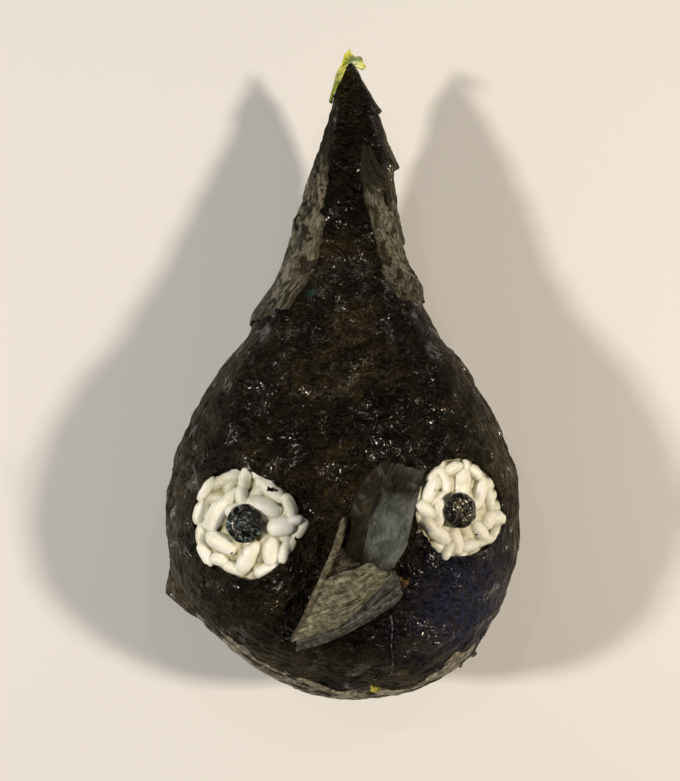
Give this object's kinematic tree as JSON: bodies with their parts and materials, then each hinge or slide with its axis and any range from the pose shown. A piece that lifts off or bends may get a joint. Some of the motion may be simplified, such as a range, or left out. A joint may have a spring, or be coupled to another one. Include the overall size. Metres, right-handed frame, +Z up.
{
  "type": "onigiri rice ball",
  "caption": "Drop-shaped onigiri wrapped in nori, lying on its back, with rice eyes, nori pupils and a folded nori beak.",
  "frame": {"origin": "middle of the flat spot under the ball, which the onigiri rests on", "axes": "+Z up out of the face, +Y towards the tip of the cone, +X to the right of the face as seen from above with the tip up"},
  "size_m": [0.0792, 0.1487, 0.0859],
  "materials": {
    "rice": "moist boiled rice, milky and slightly see-through",
    "nori": "damp green-black nori, creased, with small wet glints",
    "rough_nori": "dry rough side of nori, grey-green and fibrous",
    "leaf": "wet yellow-green leaf, slightly see-through"
  },
  "bodies": {
    "root": {"rice": "rice", "nori_wrap": "nori", "left_pupil": "nori", "right_pupil": "nori", "beak": "rough_nori", "tip_leaf": "leaf"}
  },
  "joints": []
}
